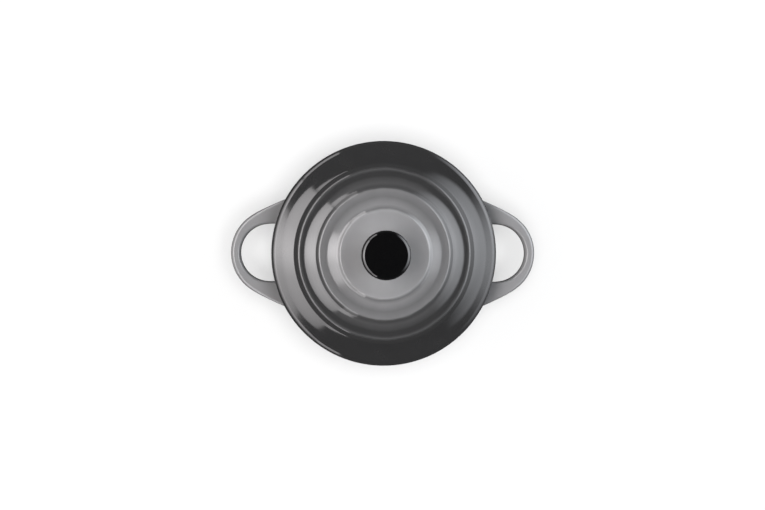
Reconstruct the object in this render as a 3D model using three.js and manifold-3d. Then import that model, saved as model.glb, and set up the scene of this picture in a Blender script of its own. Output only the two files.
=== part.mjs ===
// Mini cocotte: a small round casserole in glazed stoneware for one portion. Two loop handles are luted
// to the pot's wall with slip and fired with it. The lid steps up to its middle in three rings, drops a
// lip into the pot, and carries a phenolic knob that a screw holds from below.
// Millimetres, +Z up. The origin is the middle of the foot's underside, and the handles point along X.
import * as THREE from "three";
import { mergeVertices } from "three/addons/utils/BufferGeometryUtils.js";
import Module from "manifold-3d";

const wasm = await Module();
wasm.setup();

// Pot
const POT_HEIGHT = 50;
const RIM_RADIUS = 49.2;
const WALL = 5;
const WALL_DRAFT = 4.5; // degrees, wider towards the rim
const FLOOR = 4.6;
const RIM_ROUNDING = 1.3;
const HEEL_RADIUS = 11; // outer curve between the base and the wall
const FLOOR_CURVE = 9.5; // inner curve between the floor and the wall
const FOOT_INSET = 0.6; // the foot ring stands this far inside the heel's curve
const FOOT_WIDTH = 3.6;
const FOOT_HEIGHT = 1.3;
const FOOT_ROUNDING = 0.5;

// Loop handles, in plan and in height
const HANDLE_REACH = 19.65; // from the rim's radius to the tip
const HANDLE_BOW = 19.9; // radius of the outer outline round the tip
const HANDLE_SIDES = 25; // degrees between the outline's straight sides and X
const GRIP_RADIUS = 12.9; // the hole for a finger
const BAR_WIDTH = 4.75; // in plan, at the tip
const BAR_HEIGHT = 7.4; // at the tip
const ROOT_HEIGHT = 12; // where the handle runs into the wall
const HANDLE_DROP = 8.5; // from the rim down to the handle's middle
const SLIP_SEAM = 0.3; // the slip between a handle's root and the wall

// Lid: a flange and two hollow tiers step up to a plateau, with a rounded ridge on each of the three steps
const LID_OVERHANG = 1.3; // beyond the pot's rim
const LID_EDGE = 3.5;
const EDGE_ROUNDING_TOP = 2.4;
const EDGE_ROUNDING_BELOW = 1;
const FLANGE_WIDTH = 12.2;
const FLANGE_OUTER = 7.1; // the flatter, outer stretch of the flange
const FLANGE_OUTER_SLOPE = 7.8; // degrees
const FLANGE_INNER_SLOPE = 17.5; // degrees
const FLANGE_SWEEP = 20; // radius of the hollow curve between those two
const TIER_WIDTH = 9.25; // from ridge to ridge
const TIER_TILT = 1.5; // degrees, a tier's rise just behind its ridge
const OUTER_STEP_RUN = 2.2;
const OUTER_STEP_RISE = 2.1;
const OUTER_STEP_HOLLOW = 0.6; // radius at the step's foot
const OUTER_RIDGE = 1.2; // radius of the ridge on the step
const OUTER_SWEEP = 21.4; // radius of the tier's hollow curve behind the ridge
const OUTER_SLOPE = 18; // degrees, where that curve ends
const MIDDLE_STEP_RUN = 1.65;
const MIDDLE_STEP_RISE = 1.45;
const MIDDLE_STEP_HOLLOW = 0.6;
const MIDDLE_RIDGE = 1;
const MIDDLE_SWEEP = 30;
const MIDDLE_SLOPE = 8.7; // degrees
const INNER_STEP_RUN = 1.15;
const INNER_STEP_RISE = 0.9;
const INNER_STEP_HOLLOW = 3;
const INNER_RIDGE = 0.7;
const PLATEAU_SWEEP = 30;
const PLATEAU_DIP = 4; // degrees, the plateau's fall just behind its ridge
const LID_THICKNESS = 5;
const LIP_DEPTH = 5;
const LIP_WIDTH = 3.6;
const LIP_CLEARANCE = 1;
const LIP_ROUNDING = 1.2;
const DOME_START = 0.6; // the underside's dome starts this far above the seat
const DOME_CURVE = 14;
const BOSS_RADIUS = 16; // level patch under the plateau
const SCREW_HOLE_RADIUS = 2.9;

// Knob and the pieces that hold it
const KNOB_RADIUS = 10.95;
const KNOB_HEIGHT = 15.6;
const KNOB_CROWN = 0.3; // the top's middle above its edge
const KNOB_EDGE = 4.2; // height of the grip disc's edge, under the crown
const KNOB_TOP_ROUNDING = 1.7;
const KNOB_LOWER_ROUNDING = 0.8;
const KNOB_FOOT_RADIUS = 6.7;
const KNOB_FOOT_HEIGHT = 1.4;
const KNOB_FOOT_ROUNDING = 0.45;
const KNOB_WALL = 1.6; // phenolic round the insert at the waist
const WAIST_HEIGHT = 4.6;
const WAIST_CURVE = 5;
const INSERT_RADIUS = 3.5;
const INSERT_LENGTH = 8.5;
const INSERT_RECESS = 0.3; // the insert's end lies this far inside the knob's foot
const MOULDED_GAP = 0.1;
const THREAD_RADIUS = 2; // M4
const THREAD_GAP = 0.12;
const THREAD_ENGAGED = 7;
const SCREW_HEAD_RADIUS = 4;
const SCREW_HEAD_HEIGHT = 3.1;
const SCREW_HEAD_ROUNDING = 1.4;
const DRIVE_SLOT_WIDTH = 1.2;
const DRIVE_SLOT_DEPTH = 1.3;
const GASKET_THICKNESS = 1;
const GASKET_SETBACK = 0.5; // inside the knob's foot
const WASHER_RADIUS = 6; // wide washer for M4
const WASHER_BORE = 2.15;
const WASHER_THICKNESS = 1;

// Facets
const ROUND_SIDES = 56;
const SMALL_SIDES = 32;
const SCREW_SIDES = 24;
const ARC_STEP = 30; // degrees, the widest turn of a curve between two facets
const ARC_LENGTH = 3; // the longest facet along a curve
const BEND_RINGS = 8; // handle sections round half the bow
const SIDE_RINGS = 4; // handle sections along one straight side
const SECTION_POINTS = 14;
const SECTION_SQUARENESS = 2.5; // exponent of the handle's section: 2 is an ellipse

const radians = THREE.MathUtils.degToRad;
const slope = (degrees) => Math.tan(radians(degrees));
const corner = (r, z, rounding = 0) => ({ point: new THREE.Vector2(r, z), rounding });

const POTTERY = { roughness: 0.15, metalness: 0 };
const MATERIALS = {
  potGlaze: new THREE.MeshStandardMaterial({ color: 0x8a898b, ...POTTERY }),
  lidGlaze: new THREE.MeshStandardMaterial({ color: 0x4a4a4c, ...POTTERY }),
  phenolic: new THREE.MeshStandardMaterial({ color: 0x0e0e10, roughness: 0.2, metalness: 0 }),
  silicone: new THREE.MeshStandardMaterial({ color: 0x2b2b2d, roughness: 0.8, metalness: 0 }),
  steel: new THREE.MeshStandardMaterial({ color: 0xb9bbbd, roughness: 0.35, metalness: 0.9 }),
  brass: new THREE.MeshStandardMaterial({ color: 0xb08d4a, roughness: 0.35, metalness: 0.9 }),
};

// An outline through the corners, each rounded by an arc of its own radius. A closed outline comes back
// to its first point.
function rounded(corners, closed = false) {
  const outline = [];
  const count = corners.length;
  corners.forEach(({ point, rounding }, i) => {
    const before = corners[(i + count - 1) % count].point;
    const after = corners[(i + 1) % count].point;
    const isEnd = !closed && (i === 0 || i === count - 1);
    if (rounding === 0 || isEnd) {
      outline.push(point.clone());
      return;
    }
    const back = before.clone().sub(point).normalize();
    const ahead = after.clone().sub(point).normalize();
    const turn = Math.PI - Math.acos(THREE.MathUtils.clamp(back.dot(ahead), -1, 1));
    const tangent = rounding * Math.tan(turn / 2);
    const bisector = back.clone().add(ahead).normalize();
    const centre = point.clone().addScaledVector(bisector, rounding / Math.cos(turn / 2));
    const start = point.clone().addScaledVector(back, tangent).sub(centre);
    const side = Math.sign(back.cross(ahead)) * -1;
    const steps = Math.max(2, Math.ceil(turn / radians(ARC_STEP)), Math.ceil((turn * rounding) / ARC_LENGTH));
    for (let k = 0; k <= steps; k++) {
      outline.push(start.clone().rotateAround(new THREE.Vector2(), (side * turn * k) / steps).add(centre));
    }
  });
  if (closed) outline.push(outline[0].clone());
  return outline;
}

// A solid of revolution about Z.
function turned(outline, sides) {
  return new THREE.LatheGeometry(outline, sides).rotateX(Math.PI / 2);
}

// A closed skin over rings of points, with a flat cap on each end ring.
function lofted(rings) {
  const size = rings[0].length;
  const last = rings.length - 1;
  const index = [];
  for (let ring = 0; ring < last; ring++) {
    for (let k = 0; k < size; k++) {
      const next = (k + 1) % size;
      const [a, b] = [ring * size + k, ring * size + next];
      index.push(a, a + size, b, b, a + size, b + size);
    }
  }
  for (let k = 1; k < size - 1; k++) {
    index.push(0, k, k + 1);
    index.push(last * size, last * size + k + 1, last * size + k);
  }
  return new THREE.BufferGeometry().setFromPoints(rings.flat()).setIndex(index);
}

// A geometry as a solid for joining and cutting, and back.
function solid(geometry) {
  const bare = geometry.clone();
  bare.deleteAttribute("normal");
  bare.deleteAttribute("uv");
  const merged = mergeVertices(bare);
  return new wasm.Manifold(
    new wasm.Mesh({
      numProp: 3,
      vertProperties: merged.getAttribute("position").array,
      triVerts: new Uint32Array(merged.index.array),
    }),
  );
}

function geometryOf(manifold) {
  const { vertProperties, triVerts } = manifold.getMesh();
  return new THREE.BufferGeometry()
    .setAttribute("position", new THREE.BufferAttribute(vertProperties, 3))
    .setIndex(new THREE.BufferAttribute(triVerts, 1));
}

// Pot

const outerRadiusAt = (z) => RIM_RADIUS - (POT_HEIGHT - z) * slope(WALL_DRAFT);
const innerRadiusAt = (z) => outerRadiusAt(z) - WALL;
const floorTop = FOOT_HEIGHT + FLOOR;

function potGeometry() {
  const baseRadius = outerRadiusAt(FOOT_HEIGHT);
  const heelTangent = HEEL_RADIUS * Math.tan(radians(90 - WALL_DRAFT) / 2);
  const footRadius = baseRadius - heelTangent - FOOT_INSET;
  return turned(
    rounded([
      corner(0, FOOT_HEIGHT),
      corner(footRadius - FOOT_WIDTH, FOOT_HEIGHT),
      corner(footRadius - FOOT_WIDTH, 0, FOOT_ROUNDING),
      corner(footRadius, 0, FOOT_ROUNDING),
      corner(footRadius, FOOT_HEIGHT),
      corner(baseRadius, FOOT_HEIGHT, HEEL_RADIUS),
      corner(RIM_RADIUS, POT_HEIGHT, RIM_ROUNDING),
      corner(RIM_RADIUS - WALL, POT_HEIGHT, RIM_ROUNDING),
      corner(innerRadiusAt(floorTop), floorTop, FLOOR_CURVE),
      corner(0, floorTop),
    ]),
    ROUND_SIDES,
  );
}

// The distance along a line from a point to where it first meets a circle about the axis.
function reachOfCircle(point, direction, radius) {
  const along = point.dot(direction);
  return -along - Math.sqrt(along * along - point.lengthSq() + radius * radius);
}

// A loop along +X: sections swept from root to root, each spanning from the hole to the outer outline.
// Both roots run on into the wall.
function handleLoop() {
  const middle = POT_HEIGHT - HANDLE_DROP;
  const wallMiddle = outerRadiusAt(middle) - WALL / 2;
  const tip = RIM_RADIUS + HANDLE_REACH;
  const bowCentre = new THREE.Vector2(tip - HANDLE_BOW, 0);
  const gripCentre = new THREE.Vector2(tip - BAR_WIDTH - GRIP_RADIUS, 0);
  const onArc = (centre, radius, angle) =>
    new THREE.Vector2(radius * Math.cos(angle), radius * Math.sin(angle)).add(centre);

  const outerTurn = radians(90 - HANDLE_SIDES);
  const outerShoulder = onArc(bowCentre, HANDLE_BOW, outerTurn);
  const sideDirection = new THREE.Vector2(-1, slope(HANDLE_SIDES)).normalize();
  const outerRoot = outerShoulder
    .clone()
    .addScaledVector(sideDirection, reachOfCircle(outerShoulder, sideDirection, wallMiddle));
  const gripShoulder = onArc(gripCentre, GRIP_RADIUS, Math.PI / 2);
  const gripRoot = new THREE.Vector2(Math.sqrt(wallMiddle ** 2 - GRIP_RADIUS ** 2), GRIP_RADIUS);

  const halfRings = BEND_RINGS + SIDE_RINGS;
  const section = (i) => {
    const step = Math.abs(i);
    const bend = Math.min(1, step / BEND_RINGS);
    const side = Math.max(0, (step - BEND_RINGS) / SIDE_RINGS);
    const outer = onArc(bowCentre, HANDLE_BOW, outerTurn * bend);
    const inner = onArc(gripCentre, GRIP_RADIUS, (Math.PI / 2) * bend);
    if (side > 0) {
      outer.lerpVectors(outerShoulder, outerRoot, side);
      inner.lerpVectors(gripShoulder, gripRoot, side);
    }
    const swell = THREE.MathUtils.smoothstep(step, 0, halfRings) ** 2;
    const halfHeight = THREE.MathUtils.lerp(BAR_HEIGHT, ROOT_HEIGHT, swell) / 2;
    const mirror = i < 0 ? -1 : 1;
    return Array.from({ length: SECTION_POINTS }, (_, k) => {
      const angle = (2 * Math.PI * k) / SECTION_POINTS;
      const [c, s] = [Math.cos(angle), Math.sin(angle)];
      const across = Math.sign(c) * Math.abs(c) ** (2 / SECTION_SQUARENESS);
      const up = Math.sign(s) * Math.abs(s) ** (2 / SECTION_SQUARENESS);
      const flat = inner.clone().lerp(outer, (1 + across) / 2);
      return new THREE.Vector3(flat.x, flat.y * mirror, middle + up * halfHeight);
    });
  };
  const rings = Array.from({ length: 2 * halfRings + 1 }, (_, k) => section(k - halfRings));
  return lofted(rings);
}

// One handle, its roots cut to the wall's round and draft.
function handleGeometry() {
  const wall = turned(
    rounded([
      corner(0, 0),
      corner(outerRadiusAt(0) + SLIP_SEAM, 0),
      corner(RIM_RADIUS + SLIP_SEAM, POT_HEIGHT),
      corner(0, POT_HEIGHT),
    ]),
    ROUND_SIDES,
  );
  return geometryOf(solid(handleLoop()).subtract(solid(wall)));
}

// Lid

const lidRadius = RIM_RADIUS + LID_OVERHANG;
const edgeTop = POT_HEIGHT + LID_EDGE;

// The rings of the lid's top from the flange inwards: a step, its ridge, and the surface behind the ridge,
// which starts at a tilt and sweeps to a slope.
const lidRings = [
  {
    step: { run: OUTER_STEP_RUN, rise: OUTER_STEP_RISE, hollow: OUTER_STEP_HOLLOW },
    ridge: OUTER_RIDGE,
    behind: { tilt: TIER_TILT, sweep: OUTER_SWEEP, slope: OUTER_SLOPE },
  },
  {
    step: { run: MIDDLE_STEP_RUN, rise: MIDDLE_STEP_RISE, hollow: MIDDLE_STEP_HOLLOW },
    ridge: MIDDLE_RIDGE,
    behind: { tilt: TIER_TILT, sweep: MIDDLE_SWEEP, slope: MIDDLE_SLOPE },
  },
  {
    step: { run: INNER_STEP_RUN, rise: INNER_STEP_RISE, hollow: INNER_STEP_HOLLOW },
    ridge: INNER_RIDGE,
    behind: { tilt: -PLATEAU_DIP, sweep: PLATEAU_SWEEP, slope: 0 },
  },
];

// The lid's top from the middle of the flange to the plateau. A sweep starts where its ridge's rounding ends.
function lidTop() {
  let radius = lidRadius - FLANGE_OUTER;
  let height = edgeTop + FLANGE_OUTER * slope(FLANGE_OUTER_SLOPE);
  let climb = FLANGE_INNER_SLOPE;
  const corners = [corner(radius, height, FLANGE_SWEEP)];
  lidRings.forEach(({ step, ridge, behind }, i) => {
    const ridgeRadius = lidRadius - FLANGE_WIDTH - i * TIER_WIDTH;
    const foot = ridgeRadius + step.run;
    height += (radius - foot) * slope(climb);
    corners.push(corner(foot, height, step.hollow));
    height += step.rise;
    corners.push(corner(ridgeRadius, height, ridge));

    const tilt = radians(behind.tilt);
    const ridgeReach = ridge * Math.tan((Math.atan2(step.rise, step.run) - tilt) / 2);
    const sweepReach = behind.sweep * Math.tan((radians(behind.slope) - tilt) / 2);
    const shelf = (ridgeReach + sweepReach) * Math.cos(tilt);
    radius = ridgeRadius - shelf;
    height += shelf * Math.tan(tilt);
    climb = behind.slope;
    corners.push(corner(radius, height, behind.sweep));
  });
  return corners;
}

const lidTopCorners = lidTop();
const plateauTop = lidTopCorners.at(-1).point.y;
const lidUnderside = plateauTop - LID_THICKNESS;

function lidGeometry() {
  const lipTop = innerRadiusAt(POT_HEIGHT) - LIP_CLEARANCE;
  const lipBottom = innerRadiusAt(POT_HEIGHT - LIP_DEPTH) - LIP_CLEARANCE;
  const lipInner = lipBottom - LIP_WIDTH;

  return turned(
    rounded(
      [
        corner(SCREW_HOLE_RADIUS, lidUnderside),
        corner(BOSS_RADIUS, lidUnderside, DOME_CURVE),
        corner(lipInner, POT_HEIGHT + DOME_START, LIP_ROUNDING),
        corner(lipInner, POT_HEIGHT - LIP_DEPTH, LIP_ROUNDING),
        corner(lipBottom, POT_HEIGHT - LIP_DEPTH, LIP_ROUNDING),
        corner(lipTop, POT_HEIGHT),
        corner(lidRadius, POT_HEIGHT, EDGE_ROUNDING_BELOW),
        corner(lidRadius, edgeTop, EDGE_ROUNDING_TOP),
        ...lidTopCorners,
        corner(SCREW_HOLE_RADIUS, plateauTop),
      ],
      true,
    ),
    ROUND_SIDES,
  );
}

// Knob, and the screw, washer and gaskets on the axis

const washerTop = lidUnderside - GASKET_THICKNESS;
const headTop = washerTop - WASHER_THICKNESS;
const knobFoot = plateauTop + GASKET_THICKNESS;
const waistRadius = INSERT_RADIUS + MOULDED_GAP + KNOB_WALL;

function knobGeometry() {
  const socketRadius = INSERT_RADIUS + MOULDED_GAP;
  const socketTop = knobFoot + INSERT_RECESS + INSERT_LENGTH + MOULDED_GAP;
  const edgeTopHeight = knobFoot + KNOB_HEIGHT - KNOB_CROWN;
  const edgeBottom = edgeTopHeight - KNOB_EDGE;
  return turned(
    rounded([
      corner(0, socketTop),
      corner(socketRadius, socketTop),
      corner(socketRadius, knobFoot),
      corner(KNOB_FOOT_RADIUS, knobFoot, KNOB_FOOT_ROUNDING),
      corner(KNOB_FOOT_RADIUS, knobFoot + KNOB_FOOT_HEIGHT, KNOB_FOOT_ROUNDING),
      corner(waistRadius, knobFoot + WAIST_HEIGHT, WAIST_CURVE),
      corner(KNOB_RADIUS, edgeBottom, KNOB_LOWER_ROUNDING),
      corner(KNOB_RADIUS, edgeTopHeight, KNOB_TOP_ROUNDING),
      corner(0, knobFoot + KNOB_HEIGHT),
    ]),
    SMALL_SIDES,
  );
}

// A flat ring between two heights.
function ring(bore, radius, bottom, thickness) {
  const outline = [
    corner(bore, bottom),
    corner(radius, bottom),
    corner(radius, bottom + thickness),
    corner(bore, bottom + thickness),
  ];
  return turned(rounded(outline, true), SMALL_SIDES);
}

function knobGasketGeometry() {
  return ring(SCREW_HOLE_RADIUS, KNOB_FOOT_RADIUS - GASKET_SETBACK, plateauTop, GASKET_THICKNESS);
}

function insertGeometry() {
  return ring(THREAD_RADIUS + THREAD_GAP, INSERT_RADIUS, knobFoot + INSERT_RECESS, INSERT_LENGTH);
}

function screwGeometry() {
  const shankTop = knobFoot + INSERT_RECESS + THREAD_ENGAGED;
  const headBottom = headTop - SCREW_HEAD_HEIGHT;
  const blank = turned(
    rounded([
      corner(0, headBottom),
      corner(SCREW_HEAD_RADIUS, headBottom, SCREW_HEAD_ROUNDING),
      corner(SCREW_HEAD_RADIUS, headTop),
      corner(THREAD_RADIUS, headTop),
      corner(THREAD_RADIUS, shankTop),
      corner(0, shankTop),
    ]),
    SCREW_SIDES,
  );
  const slotLength = 2 * SCREW_HEAD_RADIUS + DRIVE_SLOT_WIDTH;
  const slot = new THREE.BoxGeometry(slotLength, DRIVE_SLOT_WIDTH, 2 * DRIVE_SLOT_DEPTH);
  slot.translate(0, 0, headBottom);
  return geometryOf(solid(blank).subtract(solid(slot)));
}

function part(name, geometry, material) {
  const mesh = new THREE.Mesh(geometry, material);
  mesh.name = name;
  return mesh;
}

const lidAssembly = new THREE.Group();
lidAssembly.add(
  part("lid", lidGeometry(), MATERIALS.lidGlaze),
  part("knob", knobGeometry(), MATERIALS.phenolic),
  part("knob_insert", insertGeometry(), MATERIALS.brass),
  part("knob_gasket", knobGasketGeometry(), MATERIALS.silicone),
  part("screw_gasket", ring(WASHER_BORE, WASHER_RADIUS, washerTop, GASKET_THICKNESS), MATERIALS.silicone),
  part("screw_washer", ring(WASHER_BORE, WASHER_RADIUS, headTop, WASHER_THICKNESS), MATERIALS.steel),
  part("knob_screw", screwGeometry(), MATERIALS.steel),
);

const handle = handleGeometry();
const handleRight = part("handle_right", handle, MATERIALS.potGlaze);
const handleLeft = part("handle_left", handle, MATERIALS.potGlaze);
handleLeft.rotation.z = Math.PI;

const cocotte = new THREE.Group();
cocotte.add(part("pot", potGeometry(), MATERIALS.potGlaze), handleRight, handleLeft, lidAssembly);

export default cocotte;
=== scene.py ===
"""Mini cocotte: a lidded stoneware pot for one portion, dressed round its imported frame.

Metres, +Z up, handles along X. The sections follow the object as it is put together: the pot, the lid, the
knob and the pieces that hold it, and last the floor, the lights and the camera.
"""
import math

import bmesh
import bpy
from mathutils import Euler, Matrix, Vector


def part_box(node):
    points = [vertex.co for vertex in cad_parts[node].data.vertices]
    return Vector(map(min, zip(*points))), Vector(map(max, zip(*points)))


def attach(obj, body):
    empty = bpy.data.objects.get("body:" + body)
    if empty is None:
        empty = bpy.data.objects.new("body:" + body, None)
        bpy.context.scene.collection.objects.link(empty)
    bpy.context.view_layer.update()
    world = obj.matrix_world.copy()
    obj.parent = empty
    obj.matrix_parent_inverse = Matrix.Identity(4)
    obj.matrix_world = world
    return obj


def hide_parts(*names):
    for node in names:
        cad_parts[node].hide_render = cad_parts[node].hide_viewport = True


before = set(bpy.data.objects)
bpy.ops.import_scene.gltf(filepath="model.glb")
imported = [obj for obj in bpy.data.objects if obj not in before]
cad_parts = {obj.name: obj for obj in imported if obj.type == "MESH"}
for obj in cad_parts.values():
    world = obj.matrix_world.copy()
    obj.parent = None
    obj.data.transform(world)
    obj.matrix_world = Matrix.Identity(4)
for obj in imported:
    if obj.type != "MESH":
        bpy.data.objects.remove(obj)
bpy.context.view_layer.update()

# Pot
# One fired piece of stoneware: a bowl shaped in a mould, with two loop handles luted on with slip before
# glazing. The glaze is grey outside, deeper towards the base, and cream inside; the foot ring is bare.
MM = 0.001

rim_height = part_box("pot")[1].z
rim_radius = 49.2 * MM
wall = 5 * MM
wall_draft = math.radians(4.5)
floor_height = 5.9 * MM
base_height = 1.3 * MM
heel_curve = 11 * MM
floor_curve = 9.5 * MM
rim_rounding = 1.3 * MM
foot_radius = 34.6 * MM
foot_width = 3.6 * MM
foot_rounding = 0.5 * MM

handle_low, handle_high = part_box("handle_right")
handle_tip = handle_high.x
handle_middle = (handle_low.z + handle_high.z) / 2
handle_bow = 19.9 * MM
handle_sides = math.radians(25)
grip_radius = 12.9 * MM
bar_width = 4.75 * MM
bar_height = 7.4 * MM
root_height = 9.4 * MM  # of the bar at the wall, and of the wall faces that it grows from
root_half = root_height / 2


def corner(r, z, rounding=0.0):
    """A corner of a half-section, and the radius that rounds it."""
    return Vector((r, 0, z)), rounding


def draw_profile(name, corners, facet, longest=math.inf):
    """Draws a half-section in the XZ plane: a lone vertex, extruded along the straights and spun round
    each rounded corner in steps no wider than the facet angle and no longer than the longest allowed."""
    bpy.ops.object.select_all(action="DESELECT")
    bpy.ops.mesh.primitive_plane_add(size=MM)
    piece = bpy.context.object
    piece.name = piece.data.name = name
    bpy.ops.object.mode_set(mode="EDIT")
    bpy.ops.mesh.select_mode(type="VERT")
    bpy.ops.mesh.select_all(action="SELECT")
    bpy.ops.mesh.merge(type="CENTER")
    here = None
    for i, (point, rounding) in enumerate(corners):
        back = (corners[i - 1][0] - point).normalized()
        ahead = (corners[(i + 1) % len(corners)][0] - point).normalized()
        turn = math.pi - back.angle(ahead) if rounding else 0.0
        reach = rounding * math.tan(turn / 2)
        start = point + back * reach
        if here is None:
            bpy.ops.transform.translate(value=start)
        else:
            bpy.ops.mesh.extrude_vertices_move(TRANSFORM_OT_translate={"value": start - here})
        here = point + ahead * reach
        if rounding:
            centre = point + (back + ahead).normalized() * rounding / math.cos(turn / 2)
            side = math.copysign(1, back.cross(ahead).y)
            steps = max(2, math.ceil(turn / facet), math.ceil(turn * rounding / longest))
            bpy.ops.mesh.spin(steps=steps, angle=side * turn, center=centre, axis=(0, 1, 0))
    return piece


def close_profile():
    """Joins the last point drawn to the first, for a section that goes all round."""
    bpy.ops.mesh.select_all(action="SELECT")
    bpy.ops.mesh.remove_doubles(threshold=MM / 1000)


def spin_about_axis(steps, angle=math.tau):
    """Spins the drawn profile about the pot's axis, from +X towards +Y, and closes its seam and poles."""
    bpy.ops.mesh.select_all(action="SELECT")
    bpy.ops.mesh.spin(steps=steps, angle=-angle, center=(0, 0, 0), axis=(0, 0, 1))
    bpy.ops.mesh.select_all(action="SELECT")
    bpy.ops.mesh.remove_doubles(threshold=MM / 1000)
    bpy.ops.mesh.normals_make_consistent(inside=False)


def select_faces(piece, wanted):
    """Selects the faces whose middle is wanted."""
    bpy.ops.mesh.select_mode(type="FACE")
    bpy.ops.mesh.select_all(action="DESELECT")
    mesh = bmesh.from_edit_mesh(piece.data)
    for face in mesh.faces:
        face.select_set(wanted(face.calc_center_median()))
    bmesh.update_edit_mesh(piece.data)


def select_vertices(piece, wanted):
    """Selects the vertices whose place is wanted."""
    bpy.ops.mesh.select_mode(type="VERT")
    bpy.ops.mesh.select_all(action="DESELECT")
    mesh = bmesh.from_edit_mesh(piece.data)
    for vertex in mesh.verts:
        vertex.select_set(wanted(vertex.co))
    bmesh.update_edit_mesh(piece.data)


def apply_modifier(piece, kind, **settings):
    """Finishes the active piece with a modifier of this kind."""
    bpy.ops.object.mode_set(mode="OBJECT")
    modifier = piece.modifiers.new(kind.title(), kind)
    for name, value in settings.items():
        setattr(modifier, name, value)
    bpy.ops.object.modifier_apply(modifier=modifier.name)


def outer_radius(z):
    """The radius of the pot's outside at a height."""
    return rim_radius - (rim_height - z) * math.tan(wall_draft)


def on_wall(z, depth=0.0):
    """A corner on the wall's outside, or at this depth in it."""
    return corner(outer_radius(z) - depth, z)


quarter_steps = 18
step_angle = math.pi / 2 / quarter_steps
root_start, root_end = 3 * step_angle, 6 * step_angle
foot_inner = foot_radius - foot_width
bowl_radius = outer_radius(floor_height) - wall

# Heights where a ring of points holds the wall's shape. Those round a handle's middle bound and divide the
# faces that it grows from, with narrow ones at the edges for a tight shoulder.
outside_rings = [
    rim_height * 0.4,
    *[handle_middle + root_half * share for share in (-2, -1, -0.55, 0.55, 1)],
]
inside_rings = [rim_height * 0.8, rim_height * 0.55]

pot = draw_profile(
    "glazed_pot",
    [
        corner(0, base_height),
        corner(foot_inner / 2, base_height),
        corner(foot_inner - 4 * foot_rounding, base_height),
        corner(foot_inner, base_height, foot_rounding),
        corner(foot_inner, 0, foot_rounding),
        corner(foot_radius, 0, foot_rounding),
        corner(foot_radius, base_height, foot_rounding / 2),
        corner(outer_radius(base_height), base_height, heel_curve),
        *[on_wall(z) for z in outside_rings],
        corner(rim_radius, rim_height, rim_rounding),
        corner(rim_radius - wall, rim_height, rim_rounding),
        *[on_wall(z, wall) for z in inside_rings],
        corner(bowl_radius, floor_height, floor_curve),
        corner(bowl_radius * 0.4, floor_height),
        corner(0, floor_height),
    ],
    facet=math.radians(31),
)
spin_about_axis(quarter_steps, math.pi / 2)

# Smoothing draws a round of straight steps inwards, so what is round starts a little larger.
wall_swell = 3 / (2 + math.cos(step_angle))
bpy.ops.transform.resize(value=(wall_swell, wall_swell, 1), center_override=(0, 0, 0))

grip_middle = handle_tip - bar_width - grip_radius
bow_offset = handle_tip - handle_bow - grip_middle
bow_end = math.atan2(handle_bow * math.cos(handle_sides), bow_offset + handle_bow * math.sin(handle_sides))
bends = 5  # the steps in which the bar turns from its root to its tip
bend_step = math.pi / 2 / bends
bend_swell = 3 / (2 + math.cos(bend_step))
tip_top = 0.58  # the top's share of the bar's width at the tip, where the flanks lean in
shoulder_spread = 1.6  # moves the bar's inner columns towards its edges, for a tighter shoulder
column_split = 0.25  # of the bar's width from its middle, between the inner columns and the outer ones
row_split = 0.4  # of the bar's height from its middle, between the inner rows and the outer ones


def bar_section(angle):
    """The handle's bar on a ray from the middle of its hole: its middle, its width and its height."""
    if angle > bow_end:
        outer = (bow_offset * math.sin(handle_sides) + handle_bow) / math.sin(angle + handle_sides)
    else:
        outer = bow_offset * math.cos(angle) + math.sqrt(handle_bow**2 - (bow_offset * math.sin(angle)) ** 2)
    reach = (grip_radius + outer) / 2 * bend_swell
    middle = Vector((grip_middle + reach * math.cos(angle), reach * math.sin(angle), handle_middle))
    height = bar_height + (root_height - bar_height) * (angle / (math.pi / 2)) ** 2
    return middle, outer - grip_radius, height


def on_section(at, angle):
    """Whether a place lies in the bar's section on this ray."""
    aside = (at.x - grip_middle) * math.sin(angle) - at.y * math.cos(angle)
    return abs(aside) < MM / 100 and at.x > rim_radius


def turn_flat(angle, centre):
    """Turns the selection about Z; with no window the operator turns the other way."""
    bpy.ops.transform.rotate(value=-angle, orient_axis="Z", center_override=centre)


def is_root(middle):
    """Whether a face with this middle is one that the handle grows from."""
    angle = math.atan2(middle.y, middle.x)
    on_outside = math.hypot(middle.x, middle.y) > outer_radius(middle.z) - wall / 2
    return on_outside and root_start < angle < root_end and abs(middle.z - handle_middle) < root_half


select_faces(pot, is_root)
root_angle = (root_start + root_end) / 2
root_radius = outer_radius(handle_middle) * wall_swell
middle = Vector((root_radius * math.cos(root_angle), root_radius * math.sin(root_angle), handle_middle))
direction = root_angle + math.pi / 2  # in which the section's width runs
width = 2 * root_radius * math.sin((root_end - root_start) / 2)
height = root_height
top = 1.0

# A short first stretch keeps the curve from the wall into the bar tight.
root_stretch = 1.1 * MM
outwards = Vector((math.cos(root_angle), math.sin(root_angle), 0)) * root_stretch
bpy.ops.mesh.extrude_region_move(TRANSFORM_OT_translate={"value": outwards})
middle = middle + outwards

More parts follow.
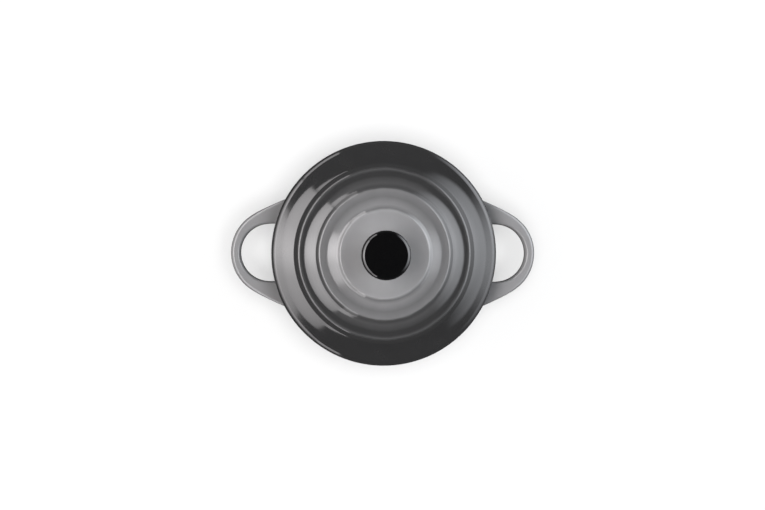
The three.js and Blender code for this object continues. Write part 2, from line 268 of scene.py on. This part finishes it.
for step in range(bends, -1, -1):
    angle = step * bend_step
    new_middle, new_width, new_height = bar_section(angle)
    bpy.ops.mesh.extrude_region_move(TRANSFORM_OT_translate={"value": new_middle - middle})
    turn_flat(angle - direction, new_middle)
    across = new_width / width
    bpy.ops.transform.resize(value=(across, across, new_height / height), center_override=new_middle)
    if step == bends:
        # The first section loses the round of the wall, and its inner columns spread.
        bpy.ops.transform.resize(value=(0, 1, 1), center_override=new_middle)
        inner = new_width * column_split
        select_vertices(pot, lambda at: on_section(at, angle) and abs(at.y - new_middle.y) < inner)
        bpy.ops.transform.resize(value=(1, shoulder_spread, 1), center_override=new_middle)
    new_top = 1 - (1 - tip_top) * math.cos(angle)
    narrowing = new_top / top
    outer = new_height * row_split
    select_vertices(pot, lambda at: on_section(at, angle) and abs(at.z - handle_middle) > outer)
    bpy.ops.transform.resize(value=(narrowing, narrowing, 1), center_override=new_middle)
    select_faces(pot, lambda at: on_section(at, angle))
    middle, direction, width, height, top = new_middle, angle, new_width, new_height, new_top

# The last section lies on the mirror's plane, so its faces go.
bpy.ops.mesh.delete(type="FACE")
apply_modifier(pot, "MIRROR", use_axis=(True, True, False), merge_threshold=MM / 100)
apply_modifier(pot, "SUBSURF", levels=2, render_levels=2)
bpy.ops.object.shade_smooth()


class Shade:
    """A socket of a node tree. Expressions on it add Math nodes, and node() adds any other kind."""

    def __init__(self, tree, socket=None):
        self.tree = tree
        self.socket = socket

    def node(self, kind, settings, sockets, output=0):
        """Adds a node: its settings come first, then the values or links of its sockets."""
        made = self.tree.nodes.new(kind)
        for name, value in settings.items():
            if name == "stops":
                set_stops(made.color_ramp.elements, value)
            else:
                setattr(made, name, value)
        for name, value in sockets.items():
            if isinstance(value, Shade):
                self.tree.links.new(value.socket, made.inputs[name])
            else:
                made.inputs[name].default_value = value
        return Shade(self.tree, made.outputs[output] if made.outputs else None)

    def math(self, operation, first, second=0.0):
        return self.node("ShaderNodeMath", {"operation": operation}, {0: first, 1: second})

    def __add__(self, other):
        return self.math("ADD", self, other)

    def __sub__(self, other):
        return self.math("SUBTRACT", self, other)

    def __rsub__(self, other):
        return self.math("SUBTRACT", other, self)

    def __mul__(self, other):
        return self.math("MULTIPLY", self, other)

    def __pow__(self, other):
        return self.math("POWER", self, other)

    def __abs__(self):
        return self.math("ABSOLUTE", self)

    __radd__ = __add__
    __rmul__ = __mul__

    def rise(self, start, end):
        """Smoothly from 0 at the start to 1 at the end, which may be the lower of the two."""
        limits = {"Value": self, "From Min": start, "From Max": end}
        return self.node("ShaderNodeMapRange", {"interpolation_type": "SMOOTHSTEP"}, limits)

    def near(self, middle, width):
        """1 at the middle, falling to 0 at this distance on either side."""
        return abs(self - middle).rise(width, 0.0)

    def mix(self, first, second):
        """The first colour where this is 0 and the second where it is 1."""
        return self.node("ShaderNodeMix", {"data_type": "RGBA"}, {0: self, 6: first, 7: second}, 2)

    def tint(self, colour):
        """This colour multiplied by another."""
        return self.node("ShaderNodeMix", {"data_type": "RGBA", "blend_type": "MULTIPLY"},
                         {0: 1.0, 6: self, 7: colour}, 2)

    def ramp(self, stops):
        """The colour that this reaches on a ramp of stops."""
        return self.node("ShaderNodeValToRGB", {"stops": stops}, {"Fac": self})

    def noise(self, size, detail=2.0):
        """Clouds of about this size over this place, from 0 to 1."""
        return self.node("ShaderNodeTexNoise", {}, {"Vector": self, "Scale": 1 / size, "Detail": detail})

    def bump(self):
        """The normal of a surface raised by this height in metres."""
        return self.node("ShaderNodeBump", {}, {"Height": self, "Distance": 1.0}, "Normal")

    def axes(self):
        """The parts of this vector along X, Y and Z."""
        along_x = self.node("ShaderNodeSeparateXYZ", {}, {0: self})
        outputs = along_x.socket.node.outputs
        return along_x, Shade(self.tree, outputs[1]), Shade(self.tree, outputs[2])

    def polar(self):
        """This place's distance from the pot's axis, and its height."""
        x, y, z = self.axes()
        return (x * x + y * y) ** 0.5, z


def set_stops(elements, stops):
    """Gives a colour ramp these stops alone."""
    while len(elements) > 1:
        elements.remove(elements[-1])
    for i, (position, colour) in enumerate(stops):
        stop = elements[0] if i == 0 else elements.new(position)
        stop.position = position
        stop.color = colour


def grey(value, warmth=0.0):
    """A linear grey; warmth moves it towards red and away from blue."""
    return (value * (1 + warmth), value, value * (1 - warmth), 1)


def new_material(name, piece):
    """A bare material on the piece, as the place of each point on it in metres."""
    material = bpy.data.materials.new(name)
    material.use_nodes = True
    material.node_tree.nodes.clear()
    piece.data.materials.clear()
    piece.data.materials.append(material)
    return Shade(material.node_tree).node("ShaderNodeTexCoord", {}, {}, "Object")


def finish_material(place, sockets):
    """Ends a material in a surface with these values or links on its sockets."""
    shader = place.node("ShaderNodeBsdfPrincipled", {}, sockets)
    place.node("ShaderNodeOutputMaterial", {}, {"Surface": shader})


MICRON = 0.001 * MM
cream = (0.66, 0.60, 0.49, 1)
bare_clay = (0.52, 0.42, 0.31, 1)
clay_roughness = 0.85
glaze_roughness = 0.06


def finish_glaze(place, tone, inside, bare):
    """Glossy glaze: a tone outside, flecked cream inside, and rough clay where it is wiped away."""
    cloud = place.noise(7 * MM, 3.0)
    fleck = place.noise(0.5 * MM, 1.0).rise(0.70, 0.80)
    grain = place.noise(0.25 * MM, 4.0)
    coloured = tone.tint(cloud.mix(grey(0.95), grey(1.11)))
    lining = (fleck * 0.35).mix(cream, grey(0.28, 0.15))
    clay = grain.mix(bare_clay, grey(0.30, 0.25))
    waves = place.noise(6 * MM, 1.0) * (6 * MICRON)
    finish_material(
        place,
        {
            "Base Color": bare.mix(inside.mix(coloured, lining), clay),
            "Roughness": glaze_roughness + cloud * 0.03 + bare * (clay_roughness - glaze_roughness),
            "Normal": (waves + bare * grain * (40 * MICRON)).bump(),
        },
    )


# Tones by share of the pot's height.
pot_tones = [(0.0, 0.014), (0.2, 0.018), (0.5, 0.050), (0.75, 0.100), (0.9, 0.112), (1.0, 0.112)]

place = new_material("ombre_glaze_pot", pot)
radius, z = place.polar()
depth = outer_radius(z) - radius
drift = (place.noise(9 * MM, 2.0) - 0.5) * 0.08
# The tone is tinted by the distance from the axis: darker on the wall and the handles' roots, paler out along
# the handles, a painted shade of the lid that overhangs them.
finish_glaze(
    place,
    tone=(z * (1 / rim_height) + drift)
    .ramp([(share, grey(value)) for share, value in pot_tones])
    .tint(radius.rise(rim_radius, handle_tip - 2 * bar_width).mix(grey(0.93), grey(1.17))),
    inside=depth.rise(4.2 * MM, 4.8 * MM) * z.rise(2.5 * MM, 3.5 * MM),
    bare=z.rise(0.45 * MM, 0.25 * MM),
)
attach(pot, "pot")
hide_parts("pot", "handle_right", "handle_left")

# Lid
# A second stoneware casting: a flange round two hollow tiers and a plateau, each ended by a rounded ridge,
# with a lip below that drops into the pot. Grey glaze from a dark rim to a pale middle; its seat is bare.
lid_low, lid_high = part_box("lid")
lid_radius = lid_high.x
lip_bottom = lid_low.z
seat = rim_height
lid_edge = 3.5 * MM
edge_rounding_top = 2.4 * MM
edge_rounding_below = 1 * MM
flange_width = 12.2 * MM
flange_outer = 7.1 * MM
flange_outer_slope = math.radians(7.8)
flange_inner_slope = math.radians(17.5)
flange_sweep = 32 * MM
tier_width = 9.25 * MM
lid_thickness = 5 * MM
lip_clearance = 1 * MM
lip_width = 3.6 * MM
lip_rounding = 1.2 * MM
seat_rounding = 0.4 * MM
dome_start = 0.6 * MM
dome_curve = 14 * MM
boss_radius = 16 * MM
screw_hole = 2.9 * MM
hole_rounding = 0.3 * MM
lid_sides = 192

edge_top = seat + lid_edge
flange_break = edge_top + flange_outer * math.tan(flange_outer_slope)

# The rings from the flange inwards, in mm and degrees: the step up to a ridge, the ridge's rounding, and the
# surface behind it, which starts at a tilt where the rounding ends and sweeps to a slope.
rings = [
    {"run": 2.2, "rise": 2.1, "hollow": 0.6, "ridge": 1.2, "tilt": 1.5, "sweep": 21.4, "slope": 18},
    {"run": 1.65, "rise": 1.45, "hollow": 0.6, "ridge": 1, "tilt": 1.5, "sweep": 30, "slope": 8.7},
    {"run": 1.15, "rise": 0.9, "hollow": 3, "ridge": 0.7, "tilt": -4, "sweep": 30, "slope": 0},
]
ringed_top = []
height = flange_break
slope_start = lid_radius - flange_outer
slope = flange_inner_slope
for i, ring in enumerate(rings):
    run, rise, hollow, ridge, sweep = (ring[key] * MM for key in ("run", "rise", "hollow", "ridge", "sweep"))
    tilt, next_slope = math.radians(ring["tilt"]), math.radians(ring["slope"])
    ridge_radius = lid_radius - flange_width - i * tier_width
    foot = ridge_radius + run
    height += (slope_start - foot) * math.tan(slope)
    ringed_top.append(corner(foot, height, hollow))
    height += rise
    ringed_top.append(corner(ridge_radius, height, ridge))
    ridge_reach = ridge * math.tan((math.atan2(rise, run) - tilt) / 2)
    sweep_reach = sweep * math.tan((next_slope - tilt) / 2)
    shelf = (ridge_reach + sweep_reach) * math.cos(tilt)
    height += shelf * math.tan(tilt)
    slope_start, slope = ridge_radius - shelf, next_slope
    ringed_top.append(corner(slope_start, height, sweep))
plateau = height
lid_underside = plateau - lid_thickness
lip_outer = outer_radius(seat) - wall - lip_clearance
lip_foot = outer_radius(lip_bottom) - wall - lip_clearance
lip_inner = lip_foot - lip_width

lid_corners = [
    corner(screw_hole, lid_underside),
    corner(boss_radius, lid_underside, dome_curve),
    corner(lip_inner, seat + dome_start, lip_rounding),
    corner(lip_inner, lip_bottom, lip_rounding),
    corner(lip_foot, lip_bottom, lip_rounding),
    corner(lip_outer, seat, seat_rounding),
    corner(lid_radius, seat, edge_rounding_below),
    corner(lid_radius, edge_top, edge_rounding_top),
    corner(lid_radius - flange_outer, flange_break, flange_sweep),
    *ringed_top,
    corner(screw_hole, plateau, hole_rounding),
    corner(screw_hole, lid_underside),
]
lid = draw_profile("glazed_lid", lid_corners, facet=math.radians(5), longest=0.4 * MM)
close_profile()
spin_about_axis(lid_sides)
bpy.ops.object.mode_set(mode="OBJECT")
bpy.ops.object.shade_smooth()
apply_modifier(lid, "WEIGHTED_NORMAL")

# Tones by radius in mm: dark on the flange, pale on the plateau, and a jump at each ridge: paler on the ridge
# and darker down the step outside it, partly the glaze's own tone and partly painted highlight and shade.
lid_tones_and_shade = [
    # The plateau, darker towards its edge as a painted shadow of the knob, then its ridge and its step.
    (0, 0.150), (12, 0.150), (17.7, 0.134), (18.9, 0.136), (19.5, 0.146), (20.1, 0.12), (20.6, 0.075),
    # The inner tier, its ridge and its step.
    (21.3, 0.088), (22.3, 0.103), (23.7, 0.092), (25.7, 0.069), (27.3, 0.078), (28.7, 0.085), (29.2, 0.077),
    (29.6, 0.040), (30.1, 0.027),
    # The outer tier, its ridge and its step.
    (30.8, 0.028), (31.8, 0.035), (32.7, 0.031), (34, 0.0255), (35, 0.017), (36.8, 0.017), (37.3, 0.025),
    (37.9, 0.037), (38.5, 0.022), (39, 0.014),
    # The flange.
    (40.3, 0.0132), (50.5, 0.0132),
]
dome_slope = (lid_underside - seat - dome_start) / (lip_inner - boss_radius)
half_thickness = lid_thickness / 2

place = new_material("ombre_glaze_lid", lid)
radius, z = place.polar()
drift = (place.noise(9 * MM, 2.0) - 0.5) * 0.02
middle_height = (lip_inner - radius) * dome_slope + (seat + dome_start + half_thickness)
finish_glaze(
    place,
    tone=(radius * (1 / lid_radius) + drift).ramp(
        [(r * MM / lid_radius, grey(value)) for r, value in lid_tones_and_shade]
    ),
    inside=(middle_height - z).rise(0.0, 0.3 * MM) * z.rise(plateau - half_thickness, lid_underside + 1 * MM),
    bare=z.near(seat, 0.3 * MM) * radius.rise(lip_outer + 0.3 * MM, lip_outer + 0.8 * MM)
    * radius.rise(lid_radius - 1 * MM, lid_radius - 1.5 * MM),
)
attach(lid, "lid")
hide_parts("lid")

# Knob
# A black phenolic moulding, polished by its mould: a thick grip disc on a drawn-in waist, with a foot that
# stands on its seal. A screw from under the lid pulls it down by the brass bush moulded into it.
knob_low, knob_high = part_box("knob")
knob_radius = knob_high.x
knob_crown = 0.3 * MM
knob_edge = 4.2 * MM
knob_foot_radius = 6.7 * MM
knob_foot_height = 1.4 * MM
knob_foot_rounding = 0.45 * MM
waist_radius = 5.2 * MM
waist_height = 4.6 * MM
waist_curve = 5 * MM
socket_radius = 3.6 * MM
socket_depth = 8.9 * MM
socket_rounding = 0.2 * MM
knob_top_rounding = 1.7 * MM
knob_lower_rounding = 0.8 * MM
crown_points = 5
knob_sides = 128

knob_edge_top = knob_high.z - knob_crown
crown_radius = knob_radius - knob_top_rounding
crown = [
    corner(crown_radius * share, knob_high.z - knob_crown * share**2)
    for share in (1 - i / crown_points for i in range(1, crown_points + 1))
]
knob = draw_profile(
    "phenolic_knob",
    [
        corner(0, knob_low.z + socket_depth),
        corner(socket_radius, knob_low.z + socket_depth, socket_rounding),
        corner(socket_radius, knob_low.z, socket_rounding),
        corner(knob_foot_radius, knob_low.z, knob_foot_rounding),
        corner(knob_foot_radius, knob_low.z + knob_foot_height, knob_foot_rounding),
        corner(waist_radius, knob_low.z + waist_height, waist_curve),
        corner(knob_radius, knob_edge_top - knob_edge, knob_lower_rounding),
        corner(knob_radius, knob_edge_top, knob_top_rounding),
        *crown,
    ],
    facet=math.radians(6),
)
spin_about_axis(knob_sides)
bpy.ops.object.mode_set(mode="OBJECT")
bpy.ops.object.shade_smooth_by_angle(angle=math.radians(40))

phenolic = (0.0008, 0.0008, 0.0010, 1)

place = new_material("black_phenolic", knob)
haze = place.noise(3 * MM, 4.0)
finish_material(
    place,
    {
        "Base Color": haze.mix(phenolic, grey(0.0016)),
        "Roughness": 0.05 + haze * 0.04,
        "Normal": (place.noise(2.5 * MM, 2.0) * (1.5 * MICRON)).bump(),
    },
)
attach(knob, "lid")
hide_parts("knob")


# Seals
# Two silicone rings stamped from sheet: one under the knob's foot, the other under the lid's boss where
# the screw's washer would grind on the glaze. Tightening the screw bulges their edges a little.
def flat_ring(name, node, bore, rounding, sides):
    """A ring with rounded edges, as wide and as thick as its node."""
    low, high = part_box(node)
    outline = [
        corner(bore, (low.z + high.z) / 2),
        corner(bore, low.z, rounding),
        corner(high.x, low.z, rounding),
        corner(high.x, high.z, rounding),
        corner(bore, high.z, rounding),
        corner(bore, (low.z + high.z) / 2),
    ]
    piece = draw_profile(name, outline, facet=math.radians(15))
    close_profile()
    spin_about_axis(sides)
    bpy.ops.object.mode_set(mode="OBJECT")
    bpy.ops.object.shade_smooth_by_angle(angle=math.radians(40))
    return piece


washer_bore = 2.15 * MM
ring_sides = 96

for name, node, bore in (
    ("knob_seal", "knob_gasket", screw_hole),
    ("screw_seal", "screw_gasket", washer_bore),
):
    seal = flat_ring(name, node, bore, rounding=0.4 * MM, sides=ring_sides)
    place = new_material(f"dark_silicone_{name}", seal)
    dust = place.noise(0.6 * MM, 4.0)
    finish_material(
        place,
        {
            "Base Color": dust.mix(grey(0.012), grey(0.03)),
            "Roughness": 0.5 + dust * 0.25,
            "Normal": (place.noise(0.2 * MM, 2.0) * (6 * MICRON)).bump(),
        },
    )
    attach(seal, "lid")
    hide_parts(node)

# Washer
# A wide stainless washer, blanked from sheet and tumbled. The screw's head holds it against the seal, and it
# spreads the screw's pull.
washer = flat_ring("wide_washer", "screw_washer", washer_bore, rounding=0.2 * MM, sides=ring_sides)
steel = (0.60, 0.60, 0.61, 1)


def finish_steel(place):
    """Stainless steel with fine turned rings and slight haze."""
    radius, _ = place.polar()
    haze = place.noise(1.2 * MM, 4.0)
    rings = place.node("ShaderNodeTexNoise", {"noise_dimensions": "1D"}, {"W": radius * (1 / (0.12 * MM))})
    finish_material(
        place,
        {
            "Base Color": haze.mix(steel, grey(0.50)),
            "Metallic": 1.0,
            "Roughness": 0.2 + rings * 0.15 + haze * 0.08,
            "Normal": (rings * (2 * MICRON)).bump(),
        },
    )


finish_steel(new_material("turned_steel_washer", washer))
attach(washer, "lid")
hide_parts("screw_washer")

# Insert
# A brass bush with a coarse knurl, set in the mould so that the phenolic grips it. Its M4 thread takes the
# screw, and its end lies just inside the knob's foot.
insert_low, insert_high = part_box("knob_insert")
insert_bore = 2.12 * MM
insert_chamfer = 0.35 * MM
knurl_depth = 0.25 * MM
knurl_sides = 48

insert = draw_profile(
    "brass_insert",
    [
        corner(insert_bore, (insert_low.z + insert_high.z) / 2),
        corner(insert_bore, insert_low.z + insert_chamfer),
        corner(insert_bore + insert_chamfer, insert_low.z),
        corner(insert_high.x - insert_chamfer, insert_low.z),
        corner(insert_high.x, insert_low.z + insert_chamfer),
        corner(insert_high.x, insert_high.z - insert_chamfer),
        corner(insert_high.x - insert_chamfer, insert_high.z),
        corner(insert_bore + insert_chamfer, insert_high.z),
        corner(insert_bore, insert_high.z - insert_chamfer),
        corner(insert_bore, (insert_low.z + insert_high.z) / 2),
    ],
    facet=math.radians(30),
)
close_profile()
spin_about_axis(2 * knurl_sides)


def is_groove(at):
    """Whether a place lies in a groove of the knurl, which every second line of points does."""
    turn = math.atan2(at.y, at.x) / math.tau * 2 * knurl_sides
    return math.hypot(at.x, at.y) > insert_high.x - insert_chamfer / 2 and round(turn) % 2 == 1


select_vertices(insert, is_groove)
inwards = 1 - knurl_depth / insert_high.x
bpy.ops.transform.resize(value=(inwards, inwards, 1), center_override=(0, 0, 0))
bpy.ops.object.mode_set(mode="OBJECT")
bpy.ops.object.shade_smooth_by_angle(angle=math.radians(20))

brass = (0.70, 0.47, 0.19, 1)

place = new_material("turned_brass", insert)
tarnish = place.noise(1.5 * MM, 4.0)
finish_material(
    place,
    {
        "Base Color": tarnish.mix(brass, (0.45, 0.28, 0.11, 1)),
        "Metallic": 1.0,
        "Roughness": 0.22 + tarnish * 0.2,
        "Normal": (place.noise(0.15 * MM, 2.0) * (2 * MICRON)).bump(),
    },
)
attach(insert, "lid")
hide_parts("knob_insert")

# Screw
# A stainless M4 screw with a domed slotted head, driven up through the washer, the seal and the lid into
# the brass bush.
screw_low, screw_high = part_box("knob_screw")
head_radius = screw_high.x
head_height = 3.1 * MM
head_rounding = 1.4 * MM
head_edge = 0.15 * MM
tip_rounding = 0.3 * MM
slot_width = 1.2 * MM
slot_depth = 1.3 * MM
thread_radius = 2 * MM
thread_depth = 0.4 * MM
thread_pitch = 0.7 * MM
thread_steps = 24  # in a turn
screw_sides = 64
core_radius = thread_radius - thread_depth
head_top = screw_low.z + head_height

screw = draw_profile(
    "pan_screw",
    [
        corner(0, screw_low.z),
        corner(head_radius, screw_low.z, head_rounding),
        corner(head_radius, head_top, head_edge),
        corner(core_radius, head_top),
        corner(core_radius, screw_high.z, tip_rounding),
        corner(0, screw_high.z),
    ],
    facet=math.radians(10),
)
spin_about_axis(screw_sides)
bpy.ops.object.mode_set(mode="OBJECT")

bpy.ops.object.select_all(action="DESELECT")
bpy.ops.mesh.primitive_cube_add(size=1, location=(0, 0, screw_low.z))
slot_tool = bpy.context.object
slot_tool.scale = (3 * head_radius, slot_width, 2 * slot_depth)
bpy.ops.object.transform_apply(location=True, rotation=False, scale=True)
bpy.context.view_layer.objects.active = screw
apply_modifier(screw, "BOOLEAN", operation="DIFFERENCE", object=slot_tool, solver="EXACT")
bpy.data.objects.remove(slot_tool)

# The thread is a closed ridge, wound up the core and joined to the screw.
thread_turns = math.floor((screw_high.z - head_top) / thread_pitch) - 1
thread_start = head_top + 0.6 * thread_pitch
thread_root = 0.45 * thread_pitch  # half the ridge's width at its root
thread_crest = 0.06 * thread_pitch  # half its width at its crest
sunk = core_radius - 0.1 * MM  # the radius of the root, just inside the core
thread = draw_profile(
    "thread",
    [
        corner(sunk, thread_start - thread_root),
        corner(thread_radius, thread_start - thread_crest),
        corner(thread_radius, thread_start + thread_crest),
        corner(sunk, thread_start + thread_root),
        corner(sunk, thread_start - thread_root),
    ],
    facet=math.radians(30),
)
close_profile()
bpy.ops.mesh.edge_face_add()
bpy.ops.object.mode_set(mode="OBJECT")
apply_modifier(thread, "SCREW", axis="Z", steps=thread_steps, render_steps=thread_steps,
               iterations=thread_turns, screw_offset=thread_pitch, use_merge_vertices=False)
screw.select_set(True)
thread.select_set(True)
bpy.context.view_layer.objects.active = screw
bpy.ops.object.join()
bpy.ops.object.shade_smooth_by_angle(angle=math.radians(35))
finish_steel(new_material("turned_steel_screw", screw))
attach(screw, "lid")
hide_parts("knob_screw")

# Floor
# A wide table of white acrylic, which isn't part of the object. It glows from below, has a round lamp of its
# own overhead, and is kept out of the reflections in the glaze.
floor_size = 1.4
lamp_height = 4.0
lamp_size = 1.8
lamp_radiance = 178.0

bpy.ops.object.select_all(action="DESELECT")
bpy.ops.mesh.primitive_plane_add(size=floor_size)
table = bpy.context.object
table.name = "acrylic_table"
table.visible_glossy = False
place = new_material("frosted_acrylic", table)
frost = place.noise(1.5 * MM, 4.0)
finish_material(
    place,
    {
        "Base Color": frost.mix(grey(0.048), grey(0.052)),
        "Roughness": 0.7 + frost * 0.1,
        "Specular IOR Level": 0.1,
        "Emission Color": grey(1.0),
        "Emission Strength": 0.42,
    },
)

bpy.ops.object.light_add(type="AREA", location=(0, 0, lamp_height))
lamp = bpy.context.object
lamp.name = "table_lamp"
lamp.data.shape = "DISK"
lamp.data.size = lamp_size
lamp.data.energy = lamp_radiance * math.pi * (math.pi / 4 * lamp_size**2)
lamp.light_linking.receiver_collection = bpy.data.collections.new("table_alone")
lamp.light_linking.receiver_collection.objects.link(table)


# Lights
# Tall soft screens on stands: three in a shallow bay on the left, whose edges show in the glaze, and one
# broad graded screen on the right, which starts below the table. The studio is dark overhead and pale along
# the horizon.
def hang_screen(name, start, end, heights, colour, radiance, glow):
    """A lit screen over the line between two places on the floor, between two heights, facing the pot. Its
    glow takes places across and up the screen, from 0 to 1, and gives the share of its radiance there."""
    line = Vector(end) - Vector(start)
    bottom, top = heights
    width, height = line.length, top - bottom
    middle = ((Vector(start) + Vector(end)) / 2).to_3d() + Vector((0, 0, bottom + height / 2))
    heading = math.atan2(line.y, line.x)
    bpy.ops.object.light_add(type="AREA", location=middle, rotation=(math.pi / 2, 0, heading))
    screen = bpy.context.object
    screen.name = name
    screen.data.shape = "RECTANGLE"
    screen.data.size = width
    screen.data.size_y = height
    screen.data.energy = radiance * math.pi * width * height
    screen.data.use_nodes = True
    tree = screen.data.node_tree
    tree.nodes.clear()
    across, up, _ = Shade(tree).node("ShaderNodeNewGeometry", {}, {}, "Parametric").axes()
    lit = up.node("ShaderNodeEmission", {}, {"Color": colour, "Strength": glow(across, up)})
    lit.node("ShaderNodeOutputLight", {}, {"Surface": lit})


def wing_glow(across, up):
    """Even, but for a dim foot."""
    return 0.3 + up.rise(0.0, 0.3) * 0.7


def left_glow(across, up):
    """Brightest up a streak near the middle, where the lamp stands behind it, and a little below its top."""
    spread = 0.8 - abs(across - 0.36) * 0.72
    streak = across.near(0.46, 0.15) * 0.27
    fading = 1 - up.rise(0.5, 1.0) * 0.12
    return (spread + streak) * wing_glow(across, up) * fading


def right_glow(across, up):
    """Soft at its sides and crisper at its top, leaning towards the front as it rises. It is brightest below
    its middle, and dim below the table."""
    leaning = across + (up - 0.49) * 0.165
    sides = leaning.rise(0.0, 0.43) * leaning.rise(1.0, 0.4)
    upwards = 0.35 + up.rise(0.15, 0.27) * 0.95 - up.rise(0.4, 0.62) * 0.3
    return sides * upwards * up.rise(1.0, 0.78)


warm = (1.0, 0.972, 0.985, 1)
cool = (0.955, 0.98, 1.03, 1)
bay_heights = (0.35, 4.8)
right_heights = (-0.9, 4.72)
left_radiance = 10.6
wing_radiance = 4.5
right_radiance = 5.3
backdrop = 0.93  # the radiance that the camera sees past the table

hang_screen("left_screen", (-1.39, 1.27), (-1.09, -1.61), bay_heights, warm, left_radiance, left_glow)
hang_screen("left_wing_back", (-1.46, 3.48), (-2.06, 1.95), bay_heights, warm, wing_radiance, wing_glow)
hang_screen("left_wing_front", (-1.86, -2.75), (-1.36, -3.67), bay_heights, warm, wing_radiance, wing_glow)
hang_screen("right_screen", (1.5, -1.62), (1.5, 2.88), right_heights, cool, right_radiance, right_glow)

studio = bpy.data.worlds.new("studio")
bpy.context.scene.world = studio
studio.use_nodes = True
studio.node_tree.nodes.clear()
sky = Shade(studio.node_tree).node("ShaderNodeTexCoord", {}, {}, "Generated")
_, _, upwards = sky.axes()
seen = sky.node("ShaderNodeLightPath", {}, {}, "Is Camera Ray")
gloom = 0.04 + upwards.near(0.0, 0.6) * 0.2
strength = gloom + seen * (backdrop - gloom)
surround = sky.node("ShaderNodeBackground", {}, {"Color": grey(1.0), "Strength": strength})
surround.node("ShaderNodeOutputWorld", {}, {"Surface": surround})

# Camera
# A long lens almost straight above, a little towards the back and the left, with X to the right. From there
# the lid hides all of the pot but its handles.
camera_distance = 0.95  # to the level of the pot's rim
aim = Vector((-0.55 * MM, -0.70 * MM, rim_height))
turn = Euler((math.radians(-1.9), math.radians(-2.31), math.radians(0.25)))
away = turn.to_matrix() @ Vector((0, 0, camera_distance))
bpy.ops.object.camera_add(location=aim + away, rotation=turn)
camera = bpy.context.object
camera.data.lens = 99.4
camera.data.sensor_width = 36
bpy.context.scene.camera = camera
bpy.context.scene.view_settings.view_transform = "Standard"
